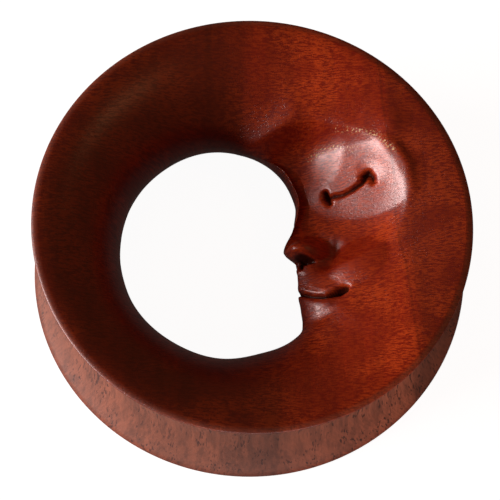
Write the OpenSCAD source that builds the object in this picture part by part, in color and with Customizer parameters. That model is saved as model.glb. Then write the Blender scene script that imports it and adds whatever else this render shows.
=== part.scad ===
// Double flared ear tunnel turned from one piece of dense red wood.
// The right edge of its off-centre hole is cut as the profile of a sleeping moon,
// and the face of that moon is carved in low relief beside the edge.
// All lengths are millimetres. The ring lies on its back rim with the carved front up.

/* [Ring] */
// Diameter at the bottom of the lobe groove, which is the gauge size
gauge_d = 38; // [30:0.5:48]
// Depth of the lobe groove below the two flared rims
groove_depth = 1.5; // [0.6:0.1:2.5]
// Thickness of the ring from the back rim to the front rim on the thin side
ring_height = 14.1; // [12:0.1:16]
// How much thinner the ring is on the face side than on the thin side
rim_lean = 1.5; // [0:0.1:2.5]
// Sideways step of the front rim from the back rim
rim_shift = 0.3; // [0:0.1:0.8]
// Radius of the worn corner of both rims
edge_r = 0.22; // [0.1:0.02:0.5]
// Width of the softly rolled corner between the front and the front rim
rim_roll = 0.65; // [0.2:0.05:1]
// Width of the flat land that the back rests on
land_w = 1.6; // [0.8:0.1:2.5]

/* [Hole] */
// Radius of the hole away from the face
hole_r = 10.35; // [8.5:0.05:11]
// Distance of the hole centre to the left of the ring centre
hole_left = 1.95; // [0:0.05:3]
// Distance of the hole centre below the ring centre
hole_down = 0.6; // [0:0.05:2]
// Height of the narrowest line of the hole above the back
throat_height = 6.4; // [5:0.1:7.5]
// Exponent of the swelling of the front on the thin side, where 2 is an ellipse
swell = 1.85; // [1.6:0.05:2.2]
// The same exponent on the face side, where the front slopes more evenly
face_swell = 1.2; // [1.1:0.05:1.8]

/* [Face] */
// Height that the percents of the face tables are taken from
face_height = 20; // [16:0.5:22]
// Depth of the carving, as a share of the depths in the tables
carving_share = 1.0; // [0.5:0.05:1.3]
// How far the tip of the nose stands out into the hole
nose_out = 1.4; // [0.8:0.1:1.8]
// Reach of the nose tip over the front and down the hole
nose_reach = 5.0; // [3:0.25:6]
// Depth up to which the carved profile runs down the back of the hole
profile_fade = 5.0; // [3:0.1:6]

/* [Hidden] */

ring_r = gauge_d/2 + groove_depth;
hole_x = -hole_left;
hole_y = -hole_down;
lean = rim_lean/(2*ring_r);
percent = face_height/100;

// Radius of the hole by angle: [angle in degrees, share of hole_r]
HOLE_EDGE = [
    [-180, 1.0], [-165, 0.995], [-150, 1.0], [-120, 0.995], [-95, 1.005], [-75, 0.985], [-63, 0.995],
    [-56, 0.995], [-50, 0.975], [-44, 0.905], [-38, 0.825], [-32, 0.72], [-25, 0.675], [-16, 0.635],
    [-6, 0.64], [4, 0.56], [12, 0.54], [20, 0.55], [30, 0.58], [40, 0.665], [50, 0.735], [60, 0.815],
    [68, 0.875], [80, 0.96], [88, 1.02], [105, 1.06], [130, 1.05], [150, 1.03], [165, 1.01], [180, 1.0]];

// Bulge of the nose by angle: [angle in degrees, share of nose_out, share of nose_reach]
NOSE = [
    [-180, 0, 0.3], [-19, 0, 0.3], [-15, 0.1, 0.4], [-12, 0.2, 0.55], [-7, 0.55, 0.85], [-2, 0.9, 1],
    [3, 1, 1], [10, 0.85, 0.8], [18, 0.57, 0.5], [25, 0.25, 0.35], [32, 0, 0.3], [180, 0, 0.3]];

// The bridge of the nose, as a share of hole_r and in percent, to the right of the hole centre
bridge_share = 0.62;
bridge_right = bridge_share*hole_r/percent;

// The tables below give places from the bridge of the nose, right and up, and sizes, in percent.
// A place on the sloping front lies as far out as its straight distance from the throat line.
// Ovals: [right, up, half length, half height, tilt in degrees, height, roundness of the foot]
ORBIT = [12.5, 28, 44, 36, -24.5, -10.2, 0.9];
COVE = [4, 49, 20, 24.5, -39, -3.6, 2.1];
FOLD = [37, 37, 6, 9, 57, -0.5, 1.5];
EYELID = [32, 33.5, 34, 18.5, 2, 2.3, 1.2];
LOWER_LID = [32, 26.5, 15, 10, 17, 0.3, 1.8];
NOSE_WING = [6, 1.5, 8.5, 7, -10, 5.8, 0.9];
CHEEK = [31, -8, 17, 13, 10, 2.6, 1.3];
OVALS = [ORBIT, COVE, FOLD, EYELID, LOWER_LID, NOSE_WING, CHEEK];

// Strokes: a row for each point, [right, up, half width, height]
BROW = [
    [-15, 46, 8, 0.6], [-11.5, 58, 9, 1.1], [1, 70, 9, 1.6], [17.5, 72, 9, 0.3], [34, 68, 9, 0.1],
    [47.5, 59, 8, 1.6]];
ORBIT_RIM = [
    [14.5, 62, 2.6, 0.4], [27, 60, 2.6, 0.1], [40.5, 55, 2.6, 0.1], [50.5, 48, 2.6, 1.1],
    [56.5, 37.5, 2.6, 1.1], [58.5, 24.5, 2.6, 0.6], [54, 16.5, 2.6, 0.1]];
WING_EDGE = [
    [1.5, 8, 2, -0.5], [4.5, 9, 2, -1], [8, 8, 2.2, -1.6], [12, 4, 3.4, -2.8], [15.5, -1, 5, -4.6],
    [15, -6, 4.5, -3.6]];
LIP_PLANE = [
    [-6, -10, 5, -0.1], [-2.5, -14, 5, -0.15], [1, -18, 4.7, -0.2], [5.5, -21.5, 3.8, -0.25],
    [14, -24.5, 2.7, -0.4], [20.5, -23.5, 2.2, -0.3], [24, -22.5, 2.2, -0.2], [27, -23, 1.5, -0.1]];
LOWER_LIP = [
    [-3, -23.5, 4.2, 1], [1.5, -26.5, 4.2, 1.1], [5.5, -28.5, 4.2, 1.1], [11, -30, 4, 1],
    [16.5, -29.5, 3, 0.7], [20.5, -27, 2, 0.3]];
UNDER_LIP = [[1, -36, 4, -0.9], [6.5, -37.5, 4, -0.9], [12.5, -38, 3.5, -0.7], [19, -35, 3, -0.4]];
EYE_SLIT = [
    [14, 27, 1.1, -2.2], [17, 27.5, 1.1, -2.2], [22, 28, 1.1, -2.2], [27.5, 30, 1.1, -2.4],
    [31.5, 32, 1.2, -2.8], [33.5, 34, 1.4, -3.2]];
INNER_CORNER = [[12.2, 29.5, 1.2, -4], [12.5, 27.5, 1.5, -5], [14, 24.5, 1.2, -2.5]];
OUTER_CORNER = [
    [33, 35, 1.3, -3.6], [35.5, 36.5, 1.5, -4], [37.5, 34, 1.3, -3], [38.5, 31.5, 1.1, -1.5]];
NOSTRIL = [[8, -4.5, 1.2, -3], [4.5, -4, 1.8, -6], [2, -4, 1.6, -5.5], [2, -6.5, 1.4, -3]];
MOUTH = [
    [-6, -15, 1.1, -1.8], [-4, -17, 1.1, -2.2], [4, -21.5, 1.1, -2.2], [8, -23.5, 1.1, -2.2],
    [15, -25.5, 1.3, -2.6], [19, -25, 1.7, -4.6], [22, -24, 2.1, -6.5], [24.5, -23.2, 1.9, -5],
    [26, -22.5, 1.4, -2]];
SOFT_STROKES = [BROW, ORBIT_RIM, WING_EDGE, UNDER_LIP];
CRISP_STROKES = [LIP_PLANE, LOWER_LIP];
CUTS = [EYE_SLIT, INNER_CORNER, OUTER_CORNER, NOSTRIL, MOUTH];

// How close the mesh lines lie over the face: [from angle, to angle, lines]
FACE_LINES = [
    [-58, -46, 4], [-46, -37, 6], [-37, -23, 17], [-23, -14, 6], [-14, 3, 14],
    [3, 19, 8], [19, 30, 16], [30, 44, 8], [44, 76, 10]];
plain_lines = 36;
front_rows = 30;
back_rows = 6;
wall_rows = 8;
back_corner_rows = 2;
front_corner_rows = 3;

// Smooth step from 0 to 1 between a and b
function ease(a, b, x) = let(t = min(1, max(0, (x - a)/(b - a)))) t*t*(3 - 2*t);

// Slope of a table column at a row, and the smooth curve through that column
function slope(rows, i, col) =
    i == 0 || i == len(rows) - 1 ? 0
    : (rows[i + 1][col] - rows[i - 1][col])/(rows[i + 1][0] - rows[i - 1][0]);
function row_below(rows, x, i = 0) =
    i < len(rows) - 2 && rows[i + 1][0] <= x ? row_below(rows, x, i + 1) : i;
function curve(rows, x, col = 1) =
    let(i = row_below(rows, x), h = rows[i + 1][0] - rows[i][0], t = (x - rows[i][0])/h)
    (2*t*t*t - 3*t*t + 1)*rows[i][col] + (t*t*t - 2*t*t + t)*h*slope(rows, i, col)
    + (3*t*t - 2*t*t*t)*rows[i + 1][col] + (t*t*t - t*t)*h*slope(rows, i + 1, col);

// Distance from the hole centre to a circle of radius r round [cx, 0], in direction a
function reach_to(a, cx, r) =
    let(dx = hole_x - cx, dy = hole_y, b = dx*cos(a) + dy*sin(a)) -b + sqrt(b*b - dx*dx - dy*dy + r*r);

// Rounded cap: 1 at the middle, 0 at and past q2 = 1, with a softened foot
function cap(q2, soft = 0.06) = let(h = 1 - q2) (h + sqrt(h*h + soft*soft))/2;
function oval(p, o) =
    let(dx = p[0] - o[0], dy = p[1] - o[1], c = cos(o[4]), s = sin(o[4]),
        a = (dx*c + dy*s)/o[2], b = (dy*c - dx*s)/o[3])
    o[5]*pow(cap(a*a + b*b), o[6]);

// Share of the way along the segment from row a to row b that lies nearest to p
function nearest(p, a, b) =
    let(ex = b[0] - a[0], ey = b[1] - a[1])
    min(1, max(0, ((p[0] - a[0])*ex + (p[1] - a[1])*ey)/(ex*ex + ey*ey)));
function segment(p, a, b, crisp) =
    let(r = a + nearest(p, a, b)*(b - a), dx = p[0] - r[0], dy = p[1] - r[1],
        q2 = (dx*dx + dy*dy)/(r[2]*r[2]))
    abs(r[3])*(crisp ? cap(q2) : exp(-q2));
function stroke(p, rows, crisp = false) =
    let(heights = [for (i = [0:len(rows) - 2]) segment(p, rows[i], rows[i + 1], crisp)])
    max(heights)*sign(rows[0][3]);

// Sum of a list
function total(values) = values*[for (v = values) 1];

// Height of the carving over the plain front in direction a, this far out
function relief(a, out) =
    let(p = [out*cos(a)/percent - bridge_right, out*sin(a)/percent],
        ovals = total([for (o = OVALS) oval(p, o)]),
        soft = total([for (rows = SOFT_STROKES) stroke(p, rows)]),
        crisp = total([for (rows = CRISP_STROKES) stroke(p, rows, true)]),
        cuts = pow(total([for (rows = CUTS) pow(stroke(p, rows), 4)]), 0.25))
    carving_share*percent*(ovals + soft + crisp - cuts);

// Bulge of the nose at a distance from the throat line
function nose(a, distance) =
    nose_out*curve(NOSE, a, 1)*(1 - ease(0, 1, distance/(nose_reach*curve(NOSE, a, 2))));

// One section of the ring in direction a: points [distance from the hole centre, height]
function section(a) =
    let(throat = hole_r*curve(HOLE_EDGE, a),
        front_end = reach_to(a, rim_shift/2, ring_r) - rim_roll,
        back_end = reach_to(a, -rim_shift/2, ring_r) - edge_r,
        top = ring_height - lean*(ring_r + hole_x + front_end*cos(a)),
        front_len = front_end - throat, front_rise = top - throat_height,
        back_len = back_end - land_w - throat,
        n = swell + (face_swell - swell)*(1 + cos(a))/2,
        front = [for (i = [0:front_rows])
            let(f = 90*i/front_rows, u = pow(sin(f), 2/n), w = pow(max(0, cos(f)), 2/n),
                d = front_end - front_len*u, z = throat_height + front_rise*w,
                nd = -pow(u, n - 1)/front_len, nz = pow(w, n - 1)/front_rise, m = norm([nd, nz]),
                chord = norm([d - throat, z - throat_height]),
                bulge = relief(a, throat + chord) + nose(a, chord))
            [d + bulge*nd/m, z + bulge*nz/m]],
        back = [for (i = [1:back_rows])
            let(f = 90*(1 - i/back_rows), u = sin(f), w = cos(f),
                d = throat + back_len*(1 - u), z = throat_height*(1 - w),
                nd = -u/back_len, nz = -w/throat_height, m = norm([nd, nz]),
                chord = norm([d - throat, z - throat_height]),
                bulge = (relief(a, throat - chord) + nose(a, chord))*(1 - ease(0, profile_fade, chord)))
            i == back_rows ? [d, 0] : [d + bulge*nd/m, z + bulge*nz/m]],
        back_corner = [for (i = [0:back_corner_rows])
            let(f = 90*i/back_corner_rows) [back_end + edge_r*sin(f), edge_r*(1 - cos(f))]],
        wall = [for (i = [1:wall_rows - 1])
            let(q = i/wall_rows)
            [reach_to(a, rim_shift*(q - 0.5), ring_r - groove_depth*(1 - pow(2*q - 1, 2))),
             edge_r + (top - 2*edge_r)*q]],
        front_corner = [for (i = [0:front_corner_rows - 1])
            let(f = 90*i/front_corner_rows) [front_end + rim_roll*cos(f), top - edge_r*(1 - sin(f))]])
    concat(front, back, back_corner, wall, front_corner);

face_start = FACE_LINES[0][0];
face_end = FACE_LINES[len(FACE_LINES) - 1][1];
angles = concat(
    [for (part = FACE_LINES) for (i = [0:part[2] - 1]) part[0] + (part[1] - part[0])*i/part[2]],
    [for (i = [0:plain_lines - 1]) face_end + (360 - face_end + face_start)*i/plain_lines]);
function wrapped(a) = a > 180 ? a - 360 : a;

module moon_tunnel() {
    sections = [for (a = angles) section(wrapped(a))];
    columns = len(sections);
    rows = len(sections[0]);
    points = [for (i = [0:columns - 1]) for (p = sections[i])
        [hole_x + p[0]*cos(angles[i]), hole_y + p[0]*sin(angles[i]), p[1]]];
    faces = [for (i = [0:columns - 1]) for (j = [0:rows - 1])
        let(here = i*rows, next = ((i + 1) % columns)*rows, k = (j + 1) % rows,
            a = here + j, b = next + j, c = next + k, d = here + k)
        each [[a, b, c], [a, c, d]]];
    color([0.33, 0.07, 0.03])
        polyhedron(points = points, faces = faces, convexity = 6);
}

moon_tunnel();
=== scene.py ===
import math
import bpy
import numpy as np
from mathutils import Matrix, Vector


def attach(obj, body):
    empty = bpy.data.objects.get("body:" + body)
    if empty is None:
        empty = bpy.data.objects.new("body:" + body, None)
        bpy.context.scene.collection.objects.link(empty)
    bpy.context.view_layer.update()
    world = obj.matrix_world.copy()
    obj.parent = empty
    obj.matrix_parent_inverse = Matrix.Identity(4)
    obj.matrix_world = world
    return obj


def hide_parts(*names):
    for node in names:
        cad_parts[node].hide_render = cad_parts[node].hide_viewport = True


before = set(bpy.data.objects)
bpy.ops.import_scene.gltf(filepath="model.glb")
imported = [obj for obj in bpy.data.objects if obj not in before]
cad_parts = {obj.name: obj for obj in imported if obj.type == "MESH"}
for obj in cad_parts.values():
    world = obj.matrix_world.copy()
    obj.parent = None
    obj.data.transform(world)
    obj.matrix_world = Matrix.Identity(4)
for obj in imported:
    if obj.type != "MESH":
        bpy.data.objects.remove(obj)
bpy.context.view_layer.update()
scene = bpy.context.scene

# Camera
# A long lens high over the front edge of the floor looks steeply down on the carved front, and the
# ring fills most of the square picture.
CAMERA_TARGET = Vector((-0.0000821, -0.0001782, 0.0066453))
CAMERA_ELEVATION = math.radians(69.55)
CAMERA_DISTANCE = 0.4074
CAMERA_ROLL = 0.000617
CAMERA_LENS = 311.67
CAMERA_SENSOR = 36
CAMERA_CLIP = (0.01, 5)
camera_data = bpy.data.cameras.new("camera")
camera_data.sensor_width = CAMERA_SENSOR
camera_data.lens = CAMERA_LENS
camera_data.clip_start, camera_data.clip_end = CAMERA_CLIP
camera = bpy.data.objects.new("camera", camera_data)
scene.collection.objects.link(camera)
view_back = Vector((0, -math.cos(CAMERA_ELEVATION), math.sin(CAMERA_ELEVATION)))
view_right = Vector((1, 0, 0))
view_up = view_back.cross(view_right)
turned_right = math.cos(CAMERA_ROLL)*view_right + math.sin(CAMERA_ROLL)*view_up
turned_up = math.cos(CAMERA_ROLL)*view_up - math.sin(CAMERA_ROLL)*view_right
camera_place = Matrix((turned_right, turned_up, view_back)).transposed().to_4x4()
camera_place.translation = CAMERA_TARGET + view_back*CAMERA_DISTANCE
camera.matrix_world = camera_place
scene.camera = camera

# Carved ring
# A double flared ear tunnel, turned from one piece of dense red wood with the grain along its axis.
# The profile and the sleeping face are carved by hand into its front, then sanded, oiled and polished;
# the groove round the outside was only sanded and stays paler and drier.
MM = 0.001
# Lengths in millimetres. The ring lies on its back rim, with its thin side at -x and the face at +x.
GAUGE_D = 38.0
GROOVE_DEPTH = 1.5
RING_HEIGHT = 14.1
RIM_LEAN = 1.5
RIM_SHIFT = 0.3
EDGE_R = 0.22
RIM_ROLL = 0.65
LAND_W = 1.6
HOLE_R = 10.35
HOLE_X = -1.95
HOLE_Y = -0.6
THROAT_HEIGHT = 6.4
FACE_HEIGHT = 20.0
NOSE_OUT = 1.4
NOSE_REACH = 5.0
PROFILE_FADE = 5.0
# Exponents of the swelling of the front on the thin side and on the face side, where 2 is an ellipse
SWELL = 1.85
FACE_SWELL = 1.2
RING_R = GAUGE_D/2 + GROOVE_DEPTH
PERCENT = FACE_HEIGHT/100
BRIDGE_SHARE = 0.62
BRIDGE_RIGHT = BRIDGE_SHARE*HOLE_R/PERCENT

# Radius of the hole by angle: (angle in degrees, share of HOLE_R)
HOLE_EDGE = [
    (-180, 1), (-165, 0.995), (-150, 1), (-120, 0.995), (-95, 1.005), (-75, 0.985), (-63, 0.995),
    (-56, 0.995), (-50, 0.975), (-44, 0.905), (-38, 0.825), (-32, 0.72), (-25, 0.675), (-16, 0.635),
    (-6, 0.64), (4, 0.56), (12, 0.54), (20, 0.55), (30, 0.58), (40, 0.665), (50, 0.735), (60, 0.815),
    (68, 0.875), (80, 0.96), (88, 1.02), (105, 1.06), (130, 1.05), (150, 1.03), (165, 1.01), (180, 1)]

# Bulge of the nose by angle: (angle in degrees, share of NOSE_OUT, share of NOSE_REACH)
NOSE = [
    (-180, 0, 0.3), (-19, 0, 0.3), (-15, 0.1, 0.4), (-12, 0.2, 0.55), (-7, 0.55, 0.85), (-2, 0.9, 1),
    (3, 1, 1), (10, 0.85, 0.8), (18, 0.57, 0.5), (25, 0.25, 0.35), (32, 0, 0.3), (180, 0, 0.3)]

# Places from the bridge of the nose, right and up, and sizes, in percent of the face height
# Ovals: (right, up, half length, half height, tilt in degrees, height, roundness of the foot)
OVALS = {
    "orbit": (12.5, 28, 44, 36, -24.5, -10.2, 0.9),
    "cove": (4, 49, 20, 24.5, -39, -3.6, 2.1),
    "fold": (37, 37, 6, 9, 57, -0.5, 1.5),
    "eyelid": (32, 33.5, 34, 18.5, 2, 2.3, 1.2),
    "lower_lid": (32, 26.5, 15, 10, 17, 0.3, 1.8),
    "nose_wing": (6, 1.5, 8.5, 7, -10, 5.8, 0.9),
    "cheek": (31, -8, 17, 13, 10, 2.6, 1.3),
}

# Strokes: a row for each point, (right, up, half width, height)
SOFT_STROKES = {
    "brow": [
        (-15, 46, 8, 0.6), (-11.5, 58, 9, 1.1), (1, 70, 9, 1.6), (17.5, 72, 9, 0.3), (34, 68, 9, 0.1),
        (47.5, 59, 8, 1.6)],
    "orbit_rim": [
        (14.5, 62, 2.6, 0.4), (27, 60, 2.6, 0.1), (40.5, 55, 2.6, 0.1), (50.5, 48, 2.6, 1.1),
        (56.5, 37.5, 2.6, 1.1), (58.5, 24.5, 2.6, 0.6), (54, 16.5, 2.6, 0.1)],
    "wing_edge": [
        (1.5, 8, 2, -0.5), (4.5, 9, 2, -1), (8, 8, 2.2, -1.6), (12, 4, 3.4, -2.8), (15.5, -1, 5, -4.6),
        (15, -6, 4.5, -3.6)],
    "under_lip": [(1, -36, 4, -0.9), (6.5, -37.5, 4, -0.9), (12.5, -38, 3.5, -0.7), (19, -35, 3, -0.4)],
}
CRISP_STROKES = {
    "lip_plane": [
        (-6, -10, 5, -0.1), (-2.5, -14, 5, -0.15), (1, -18, 4.7, -0.2), (5.5, -21.5, 3.8, -0.25),
        (14, -24.5, 2.7, -0.4), (20.5, -23.5, 2.2, -0.3), (24, -22.5, 2.2, -0.2), (27, -23, 1.5, -0.1)],
    "lower_lip": [
        (-3, -23.5, 4.2, 1), (1.5, -26.5, 4.2, 1.1), (5.5, -28.5, 4.2, 1.1), (11, -30, 4, 1),
        (16.5, -29.5, 3, 0.7), (20.5, -27, 2, 0.3)],
}
CUTS = {
    "eye_slit": [
        (14, 27, 1.1, -2.2), (17, 27.5, 1.1, -2.2), (22, 28, 1.1, -2.2), (27.5, 30, 1.1, -2.4),
        (31.5, 32, 1.2, -2.8), (33.5, 34, 1.4, -3.2)],
    "inner_corner": [(12.2, 29.5, 1.2, -4), (12.5, 27.5, 1.5, -5), (14, 24.5, 1.2, -2.5)],
    "outer_corner": [
        (33, 35, 1.3, -3.6), (35.5, 36.5, 1.5, -4), (37.5, 34, 1.3, -3), (38.5, 31.5, 1.1, -1.5)],
    "nostril": [(8, -4.5, 1.2, -3), (4.5, -4, 1.8, -6), (2, -4, 1.6, -5.5), (2, -6.5, 1.4, -3)],
    "mouth": [
        (-6, -15, 1.1, -1.8), (-4, -17, 1.1, -2.2), (4, -21.5, 1.1, -2.2), (8, -23.5, 1.1, -2.2),
        (15, -25.5, 1.3, -2.6), (19, -25, 1.7, -4.6), (22, -24, 2.1, -6.5), (24.5, -23.2, 1.9, -5),
        (26, -22.5, 1.4, -2)],
}
# Lines of painted glints, gold specks painted on as the highlight of the small warm lamp: rows as above,
# but the last column is the share of specks that are painted
PAINTED_GLINT_LINES = {
    "lid": [
        (4.5, 46, 1.5, 1), (10, 50, 1.5, 1), (17.5, 51.5, 1.5, 1), (25.5, 50.5, 1.5, 1),
        (31.5, 48.5, 1.5, 1)],
    "rim": [(21.5, 60, 1.2, 1), (33.5, 57.5, 1.2, 1), (42.5, 54, 1.2, 1), (50, 45.5, 1.2, 1)],
}
# Depths of the cuts, in percent, between which painted shade starts to darken them and fills them
CUT_SHADE_DEPTHS = (0.5, 2.4)
# Share of the dry, sanded finish on the front, the back, the back corner, the groove and the front rim
BARE_SHARES = (0, 0, 0.6, 1, 0.35)
# Angles between which the mesh grows fine before the face and coarse after it, and how much finer it is
FINE_FROM = (-62, -50)
FINE_TO = (62, 78)
FINE_EXTRA = 4


def ease(low, high, x):
    """0 up to low, 1 from high on, and a smooth step between"""
    t = np.clip((x - low)/(high - low), 0, 1)
    return t*t*(3 - 2*t)


def curve(rows, x, column=1):
    """Smooth curve through a table column, with level ends"""
    xs = np.array([row[0] for row in rows], float)
    ys = np.array([row[column] for row in rows], float)
    slopes = np.zeros_like(ys)
    slopes[1:-1] = (ys[2:] - ys[:-2])/(xs[2:] - xs[:-2])
    i = np.clip(np.searchsorted(xs, x, side="right") - 1, 0, len(xs) - 2)
    step = xs[i + 1] - xs[i]
    t = (x - xs[i])/step
    return ((2*t**3 - 3*t**2 + 1)*ys[i] + (t**3 - 2*t**2 + t)*step*slopes[i]
            + (3*t**2 - 2*t**3)*ys[i + 1] + (t**3 - t**2)*step*slopes[i + 1])


def cap(q2, soft=0.06):
    """About 1 at the middle and about 0 at and past q2 = 1, with a softened foot"""
    h = 1 - q2
    return (h + np.sqrt(h*h + soft*soft))/2


def oval(u, v, right, up, length, height, tilt, rise, roundness):
    """Rounded bump or bowl, highest or deepest at its middle"""
    c, s = math.cos(math.radians(tilt)), math.sin(math.radians(tilt))
    a = ((u - right)*c + (v - up)*s)/length
    b = ((v - up)*c - (u - right)*s)/height
    return rise*cap(a*a + b*b)**roundness


def stroke(u, v, rows, crisp=False):
    """Ridge or cut along a line of points, with a soft or a crisp foot"""
    best = np.zeros_like(u)
    for (ua, va, wa, ha), (ub, vb, wb, hb) in zip(rows[:-1], rows[1:]):
        along_u, along_v = ub - ua, vb - va
        t = np.clip(((u - ua)*along_u + (v - va)*along_v)/(along_u**2 + along_v**2), 0, 1)
        q2 = ((u - ua - t*along_u)**2 + (v - va - t*along_v)**2)/(wa + t*(wb - wa))**2
        best = np.maximum(best, np.abs(ha + t*(hb - ha))*(cap(q2) if crisp else np.exp(-q2)))
    return best*np.sign(rows[0][3])


def face_place(angle, out):
    """Place on the face, right and up from the bridge of the nose, in percent"""
    return out*np.cos(angle)/PERCENT - BRIDGE_RIGHT, out*np.sin(angle)/PERCENT


def cut_depth(u, v):
    """Depth of the eye slit, nostril and mouth, in percent"""
    return sum(stroke(u, v, rows)**4 for rows in CUTS.values())**0.25


def relief(angle, out):
    """Height of the carving over the plain front in this direction, this far out"""
    u, v = face_place(angle, out)
    high = sum(oval(u, v, *row) for row in OVALS.values())
    high += sum(stroke(u, v, rows) for rows in SOFT_STROKES.values())
    high += sum(stroke(u, v, rows, crisp=True) for rows in CRISP_STROKES.values())
    return PERCENT*(high - cut_depth(u, v))


def painted_cut_shade(angle, out):
    """Share of painted shade in the cuts, more the deeper they are"""
    return ease(*CUT_SHADE_DEPTHS, cut_depth(*face_place(angle, out)))


def painted_glints(angle, out):
    """Share of painted glints, gold specks of painted highlight along the lid and the rim of the orbit"""
    return sum(stroke(*face_place(angle, out), rows) for rows in PAINTED_GLINT_LINES.values())


def nose(degrees, chord):
    """Bulge of the nose at this distance from the narrowest line of the hole"""
    reach = NOSE_REACH*curve(NOSE, degrees, 2)
    return NOSE_OUT*curve(NOSE, degrees)*(1 - ease(0, 1, chord/reach))


def reach_to(angle, centre_x, radius):
    """Distance from the hole centre to a circle round (centre_x, 0)"""
    dx = HOLE_X - centre_x
    b = dx*np.cos(angle) + HOLE_Y*np.sin(angle)
    return -b + np.sqrt(b*b - dx*dx - HOLE_Y*HOLE_Y + radius*radius)


def section_angles(columns):
    """Angles of the sections round the hole in degrees, closer together over the face"""
    even = np.linspace(-180, 180, 40001)
    crowding = np.cumsum(1 + FINE_EXTRA*ease(*FINE_FROM, even)*(1 - ease(*FINE_TO, even)))
    crowding = (crowding - crowding[0])/(crowding[-1] - crowding[0])
    return np.interp(np.arange(columns)/columns, crowding, even)[:, None]


def pushed(distance, height, bulge, toward, up):
    """Points of a section moved by the bulge, square to the surface"""
    size = np.hypot(toward, up)
    return distance + bulge*toward/size, height + bulge*up/size


def carved_front(angle, throat, front_end, top, rows):
    """Front from the rim to the narrowest line of the hole, and how far out each point's place is"""
    power = SWELL + (FACE_SWELL - SWELL)*(1 + np.cos(angle))/2
    turn = np.linspace(0, math.pi/2, rows)[None]
    inward, rise = np.sin(turn)**(2/power), np.maximum(0, np.cos(turn))**(2/power)
    rise[:, -1] = 0
    length, height = front_end - throat, top - THROAT_HEIGHT
    distance, z = front_end - length*inward, THROAT_HEIGHT + height*rise
    chord = np.hypot(distance - throat, z - THROAT_HEIGHT)
    bulge = relief(angle, throat + chord) + nose(np.degrees(angle), chord)
    toward, up = -inward**(power - 1)/length, rise**(power - 1)/height
    return *pushed(distance, z, bulge, toward, up), throat + chord


def plain_back(angle, throat, back_end, rows):
    """Back from the narrowest line of the hole to the flat land, with the profile fading out"""
    turn = np.linspace(math.pi/2, 0, rows)[None, 1:]
    inward, drop = np.sin(turn), np.cos(turn)
    length = back_end - LAND_W - throat
    distance, z = throat + length*(1 - inward), THROAT_HEIGHT*(1 - drop) + 0*length
    chord = np.hypot(distance - throat, z - THROAT_HEIGHT)
    bulge = relief(angle, throat - chord) + nose(np.degrees(angle), chord)
    bulge = bulge*(1 - ease(0, PROFILE_FADE, chord))
    distance, z = pushed(distance, z, bulge, -inward/length, -drop/THROAT_HEIGHT)
    z[:, -1] = 0
    return distance, z


def outer_side(angle, front_end, back_end, top, wall_rows, corner_rows):
    """Worn back corner, lobe groove and rolled front rim"""
    turn = np.linspace(0, math.pi/2, corner_rows + 1)[None]
    q = np.linspace(0, 1, wall_rows)[None, 1:-1]
    groove = RING_R - GROOVE_DEPTH*(1 - (2*q - 1)**2)
    roll = turn[:, :-1]
    return (
        (back_end + EDGE_R*np.sin(turn), EDGE_R*(1 - np.cos(turn)) + 0*back_end),
        (reach_to(angle, RIM_SHIFT*(q - 0.5), groove), EDGE_R + (top - 2*EDGE_R)*q),
        (front_end + RIM_ROLL*np.cos(roll), top - EDGE_R*(1 - np.sin(roll))))


def ring_grid(columns=620, front_rows=110, back_rows=24, wall_rows=20, corner_rows=3):
    """Closed sections round the hole: x, y and z in millimetres, and the looks of each point"""
    angle = np.radians(section_angles(columns))
    throat = HOLE_R*curve(HOLE_EDGE, np.degrees(angle))
    front_end = reach_to(angle, RIM_SHIFT/2, RING_R) - RIM_ROLL
    back_end = reach_to(angle, -RIM_SHIFT/2, RING_R) - EDGE_R
    top = RING_HEIGHT - RIM_LEAN/(2*RING_R)*(RING_R + HOLE_X + front_end*np.cos(angle))
    distance, height, out = carved_front(angle, throat, front_end, top, front_rows)
    parts = [
        (distance, height),
        plain_back(angle, throat, back_end, back_rows),
        *outer_side(angle, front_end, back_end, top, wall_rows, corner_rows)]
    bare = np.repeat(BARE_SHARES, [distance.shape[1] for distance, height in parts])
    uncarved = ((0, 0), (0, len(bare) - front_rows))
    looks = {
        "bare": np.tile(bare, (columns, 1)),
        # Painted shade in the cuts
        "painted_cut_shade": np.pad(painted_cut_shade(angle, out), uncarved),
        # Painted highlight: glints along the lid and the rim of the orbit
        "painted_glints": np.pad(painted_glints(angle, out), uncarved)}
    distance, height = (np.concatenate(side, 1) for side in zip(*parts))
    return HOLE_X + distance*np.cos(angle), HOLE_Y + distance*np.sin(angle), height, looks


x, y, z, looks = ring_grid()
columns, rows = x.shape
index = np.arange(x.size).reshape(columns, rows)
beside, below = np.roll(index, -1, 0), np.roll(index, -1, 1)
corner = np.roll(beside, -1, 1)
ring_mesh = bpy.data.meshes.new("carved_ring")
ring_mesh.from_pydata(
    (np.stack([x, y, z], -1).reshape(-1, 3)*MM).tolist(), [],
    np.stack([index, below, corner, beside], -1).reshape(-1, 4).tolist())
ring_mesh.shade_smooth()
for name, values in looks.items():
    attribute = ring_mesh.attributes.new(name, "FLOAT", "POINT")
    attribute.data.foreach_set("value", values.ravel().astype(np.float32))
carved_ring = bpy.data.objects.new("carved_ring", ring_mesh)
scene.collection.objects.link(carved_ring)
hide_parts("moon_tunnel")
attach(carved_ring, "root")


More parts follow.
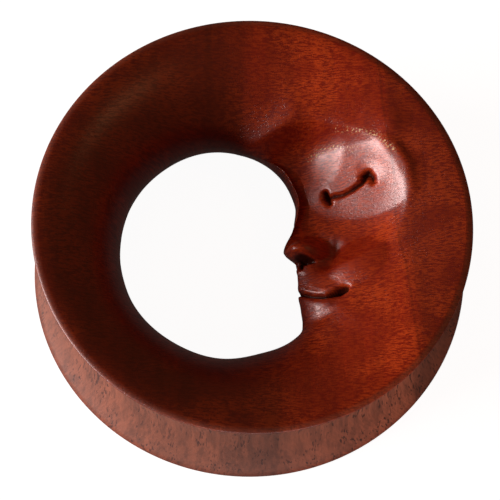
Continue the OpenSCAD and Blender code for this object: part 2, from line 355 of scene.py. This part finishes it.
class Nodes:
    """Short way to write a node tree, with inputs by socket name or number"""

    def __init__(self, tree):
        self.tree = tree

    def add(self, kind, settings=None, inputs=None):
        node = self.tree.nodes.new(kind)
        for name, value in (settings or {}).items():
            setattr(node, name, value)
        for socket, value in (inputs or {}).items():
            self.put(node, socket, value)
        return node

    def put(self, node, socket, value):
        if isinstance(value, bpy.types.NodeSocket):
            self.tree.links.new(value, node.inputs[socket])
        else:
            node.inputs[socket].default_value = value

    def math(self, operation, a, b=0.0, c=0.0):
        return self.add("ShaderNodeMath", {"operation": operation}, {0: a, 1: b, 2: c}).outputs[0]

    def noise(self, vector, scale, place, detail, roughness):
        mapped = self.add("ShaderNodeMapping", None, {"Vector": vector, "Scale": scale, "Location": place})
        looks = {"Vector": mapped.outputs[0], "Scale": 1.0, "Detail": detail, "Roughness": roughness}
        return self.add("ShaderNodeTexNoise", None, looks).outputs[0]

    def ranged(self, value, low, high, to_low=0.0, to_high=1.0):
        limits = {"Value": value, "From Min": low, "From Max": high, "To Min": to_low, "To Max": to_high}
        return self.add("ShaderNodeMapRange", {"interpolation_type": "SMOOTHSTEP"}, limits).outputs[0]

    def mix(self, share, first, second, blend="MIX"):
        """Mix of two colours, whose sockets go by number because numbers and colours share their names"""
        settings = {"data_type": "RGBA", "blend_type": blend}
        return self.add("ShaderNodeMix", settings, {0: share, 6: first, 7: second}).outputs[2]

    def shaded(self, colour, share):
        """Colour times a share that changes over the surface"""
        grey = self.add("ShaderNodeCombineColor", None, {"Red": share, "Green": share, "Blue": share})
        return self.mix(1.0, colour, grey.outputs[0], "MULTIPLY")


def new_group(name, ins, outs):
    """Empty node group with its inputs, and outputs that are all numbers"""
    group = bpy.data.node_groups.new(name, "ShaderNodeTree")
    for socket, kind, value in ins:
        made = group.interface.new_socket(socket, in_out="INPUT", socket_type=kind)
        if value is not None:
            made.default_value = value
    for socket in outs:
        group.interface.new_socket(socket, in_out="OUTPUT", socket_type="NodeSocketFloat")
    nodes = Nodes(group)
    return nodes, nodes.add("NodeGroupInput"), nodes.add("NodeGroupOutput")


# Grain seen on any cut through the wood: fibres along z, short flecks across, growth bands and open pores;
# also zones of tone, with a painted sheen under the face
GRAIN_LOOKS = ("Flecks", "Bands", "Pores", "ZoneAndSheen", "Figure", "Streaks", "Fine")
GRAIN_WANDER = 0.0012
# Noises: (cells per metre along x, y and z), (place), detail, roughness
WANDER_NOISE = ((130, 130, 20), (0, 0, 0), 1.0, 0.5)
NOISES = {
    "Flecks": ((1700, 7600, 260), (0, 0, 0), 3.0, 0.72),
    "Bands": ((420, 26, 20), (3.1, 0.7, 0.2), 4.0, 0.75),
    "Figure": ((150, 230, 60), (4.4, 2.9, 0.6), 2.0, 0.5),
    "Streaks": ((1500, 1500, 90), (1.9, 6.3, 3.3), 2.0, 0.6),
    "Fine": ((6200, 6200, 700), (2.2, 8.4, 5.1), 1.0, 0.5),
}
PORE_NOISE = ((5200, 5200, 520), (0.3, 5.1, 2.2), 1.0, 0.4)
PORE_CLUSTER_NOISE = ((620, 620, 130), (7.7, 1.3, 4.2), 2.0, 0.5)
PORE_STEP = (0.58, 0.65)
PORE_CLUSTER_STEP = (0.43, 0.56)
# The wood is darker on the left and darker again right of a growth line; under the face it is painted
# lightest, as a painted sheen.
# The zones lean a little, and each has (from x, to x, shade before, shade after) in metres and shares.
ZONE_LEAN = 0.13
LEFT_ZONE = (-0.0010, 0.0024, 0.60, 1.08)
FACE_PAINTED_SHEEN = (0.001, 0.009, 1.0, 1.42)
RIGHT_ZONE = (0.0132, 0.0152, 1.0, 0.56)
GROWTH_LINE = 0.0140
GROWTH_LINE_EDGE = (0.00002, 0.00020, 0.75, 1.0)

grain, given, result = new_group(
    "wood_grain_and_sheen",
    [("Place", "NodeSocketVector", None), ("Wander", "NodeSocketFloat", GRAIN_WANDER)],
    GRAIN_LOOKS)
wave = grain.noise(given.outputs["Place"], *WANDER_NOISE)
shift = grain.math("MULTIPLY", grain.math("SUBTRACT", wave, 0.5), given.outputs["Wander"])
split = grain.add("ShaderNodeSeparateXYZ", None, {"Vector": given.outputs["Place"]})
across_x, along_y, fibre_z = split.outputs
bent_y = grain.math("ADD", along_y, shift)
wavy = grain.add("ShaderNodeCombineXYZ", None, {"X": across_x, "Y": bent_y, "Z": fibre_z}).outputs[0]
for name, row in NOISES.items():
    grain.put(result, name, grain.noise(wavy, *row))
pores = grain.ranged(grain.noise(wavy, *PORE_NOISE), *PORE_STEP)
pore_clusters = grain.ranged(grain.noise(wavy, *PORE_CLUSTER_NOISE), *PORE_CLUSTER_STEP)
grain.put(result, "Pores", grain.math("MULTIPLY", pores, pore_clusters))
across = grain.math("MULTIPLY_ADD", along_y, ZONE_LEAN, across_x)
across = grain.math("ADD", across, shift)
# Painted sheen: the face zone lightens the colour under the face
zone_and_sheen = grain.math("MULTIPLY", grain.ranged(across, *FACE_PAINTED_SHEEN), grain.ranged(across, *RIGHT_ZONE))
zone_and_sheen = grain.math("MULTIPLY", grain.ranged(across, *LEFT_ZONE), zone_and_sheen)
from_line = grain.math("ABSOLUTE", grain.math("SUBTRACT", across, GROWTH_LINE))
grain.put(result, "ZoneAndSheen", grain.math("MULTIPLY", zone_and_sheen, grain.ranged(from_line, *GROWTH_LINE_EDGE)))

# Oiled wood: dark red ground with short orange flecks that show more where the figure is bright.
# Bare wood: paler, with flecks and streaks of shade and dark open pores.
OILED_GROUND = (0.175, 0.0065, 0.0011, 1.0)
OILED_FLECK = (0.41, 0.042, 0.006, 1.0)
BARE_GROUND = (0.34, 0.092, 0.046, 1.0)
OPEN_PORE = (0.035, 0.006, 0.003, 1.0)
# Painted highlight: gold of the glints on the lid and the orbit rim
PAINTED_GLINT_GOLD = (0.95, 0.62, 0.30, 1.0)
# Painted shade: near black for the deep cuts of the eye, nostril and mouth
PAINTED_CUT_SHADE = (0.020, 0.004, 0.002, 1.0)
# Shares and shades by noise: (noise from, noise to, value before, value after)
FLECK_SHARE = (0.40, 0.60)
FIGURE_LIGHT = (0.38, 0.62, 0.45, 1.35)
BARE_FLECK_SHADE = (0.32, 0.68, 0.88, 1.12)
BARE_STREAK_SHADE = (0.36, 0.58, 0.72, 1.06)
BAND_SHADE = (0.30, 0.70, 0.82, 1.14)
PAINTED_GLINT_SHARE = (0.58, 0.66)
POLISH_ROUGHNESS = (0.3, 0.7, 0.35, 0.28)
BARE_ROUGHNESS = 0.62
PORES_FILLED = 0.08
PORES_OPEN = 0.75
CUT_SHADE_COVER = 0.9
CUT_SHADE_DULLS = 0.75
FINE_HEIGHT = 0.6
PORE_HEIGHT = -0.6
BUMP_STRENGTH = 0.33
BUMP_DISTANCE = 0.00004
SHEEN_TINT = (1.0, 0.78, 0.76, 1.0)

wood = bpy.data.materials.new("oiled_red_wood")
wood.use_nodes = True
wood.node_tree.nodes.clear()
make = Nodes(wood.node_tree)
seen = make.add("ShaderNodeGroup", {"node_tree": bpy.data.node_groups["wood_grain_and_sheen"]})
make.put(seen, "Place", make.add("ShaderNodeTexCoord").outputs["Object"])
flecks, bands, pores, zone_and_sheen, figure, streaks, fine = (seen.outputs[name] for name in GRAIN_LOOKS)
# The attributes bring the bare finish, the painted shade in the cuts and the painted glints
dry, dark, bright = (make.add("ShaderNodeAttribute", {"attribute_name": name}).outputs["Fac"]
                     for name in ("bare", "painted_cut_shade", "painted_glints"))

lit_flecks = make.math("MULTIPLY", make.ranged(flecks, *FLECK_SHARE), make.ranged(figure, *FIGURE_LIGHT))
oiled = make.mix(lit_flecks, OILED_GROUND, OILED_FLECK)
bare_shade = make.math(
    "MULTIPLY", make.ranged(flecks, *BARE_FLECK_SHADE), make.ranged(streaks, *BARE_STREAK_SHADE))
colour = make.mix(dry, oiled, make.shaded(BARE_GROUND, bare_shade))
# Painted sheen under the face comes in through the zone
colour = make.shaded(colour, make.math("MULTIPLY", make.ranged(bands, *BAND_SHADE), zone_and_sheen))
open_pores = make.math("MULTIPLY", pores, make.math("MULTIPLY_ADD", dry, PORES_OPEN, PORES_FILLED))
colour = make.mix(open_pores, colour, OPEN_PORE)
# Painted highlight: gold specks along the lid and the orbit rim
painted_glint_specks = make.math("MULTIPLY", bright, make.ranged(fine, *PAINTED_GLINT_SHARE))
colour = make.mix(painted_glint_specks, colour, PAINTED_GLINT_GOLD)
# Painted shade in the cuts
colour = make.mix(make.math("MULTIPLY", dark, CUT_SHADE_COVER), colour, PAINTED_CUT_SHADE)

texture_height = make.math("MULTIPLY_ADD", fine, FINE_HEIGHT, flecks)
texture_height = make.math("MULTIPLY_ADD", pores, PORE_HEIGHT, texture_height)
bump = make.add("ShaderNodeBump", None, {
    "Strength": BUMP_STRENGTH, "Distance": BUMP_DISTANCE, "Height": texture_height})
roughness = make.add("ShaderNodeMix", {"data_type": "FLOAT"}, {
    0: dry, 2: make.ranged(flecks, *POLISH_ROUGHNESS), 3: BARE_ROUGHNESS})
# In the cuts the painted shade also lowers the specular level
surface = make.add("ShaderNodeBsdfPrincipled", None, {
    "Base Color": colour,
    "Roughness": roughness.outputs[0],
    "Normal": bump.outputs[0],
    "Specular IOR Level": make.math("MULTIPLY_ADD", dark, -CUT_SHADE_DULLS, 1.0),
    "Specular Tint": SHEEN_TINT})
make.add("ShaderNodeOutputMaterial", None, {"Surface": surface.outputs[0]})
ring_mesh.materials.append(wood)

# Floor
# A plain sheet that the camera sees as white. It gives only a little light of its own, so that the
# polished wood reflects a dim surround.
SHEET_SIZE = 3
SHEET_COLOUR = (0.3, 0.3, 0.3, 1)
SHEET_ROUGHNESS = 0.9
SHEET_SEEN = 0.95
SHEET_GLOW = 0.04
bpy.ops.mesh.primitive_plane_add(size=SHEET_SIZE)
floor = bpy.context.object
floor.name = "floor"
sheet = bpy.data.materials.new("white_sheet")
sheet.use_nodes = True
lay = Nodes(sheet.node_tree)
looked_at = lay.add("ShaderNodeLightPath").outputs["Is Camera Ray"]
sheet_surface = sheet.node_tree.nodes["Principled BSDF"]
lay.put(sheet_surface, "Base Color", SHEET_COLOUR)
lay.put(sheet_surface, "Roughness", SHEET_ROUGHNESS)
lay.put(sheet_surface, "Emission Color", (1, 1, 1, 1))
lay.put(sheet_surface, "Emission Strength",
        lay.math("MULTIPLY_ADD", looked_at, SHEET_SEEN - SHEET_GLOW, SHEET_GLOW))
floor.data.materials.append(sheet)


# Light
# A low softbox on the left gives the sheen on the carving and a thin one low in front lights the side
# wall; a small warm lamp high on the right and a dim warm surround fill the rest.
LAMP_DISTANCE = 0.6
# Lamps: ((direction from the ring), width, height, radiance, colour)
LAMPS = {
    "key": ((-0.975, -0.17, 0.165), 0.46, 0.26, 18, (1, 1, 1)),
    "fill": ((0.05, -0.99, 0.05), 0.5, 0.04, 16, (1, 1, 1)),
    "spark": ((0.55, -0.09, 0.83), 0.03, 0.03, 20, (1, 0.65, 0.3)),
}
SURROUND_COLOUR = (1, 0.42, 0.2, 1)
SURROUND_STRENGTH = 0.12


def softbox(name, direction, width, height, radiance, colour):
    """Rectangular lamp that faces the ring from this direction"""
    light = bpy.data.lights.new(name, "AREA")
    light.shape = "RECTANGLE"
    light.size = width
    light.size_y = height
    light.energy = radiance*math.pi*width*height
    light.color = colour
    lamp = bpy.data.objects.new(name, light)
    scene.collection.objects.link(lamp)
    toward = Vector(direction).normalized()
    lamp.location = toward*LAMP_DISTANCE
    lamp.rotation_euler = toward.to_track_quat("Z", "Y").to_euler()


for name, row in LAMPS.items():
    softbox(name, *row)
surround = bpy.data.worlds.new("studio")
scene.world = surround
surround.use_nodes = True
background = surround.node_tree.nodes["Background"]
background.inputs["Color"].default_value = SURROUND_COLOUR
background.inputs["Strength"].default_value = SURROUND_STRENGTH
scene.view_settings.view_transform = "Standard"
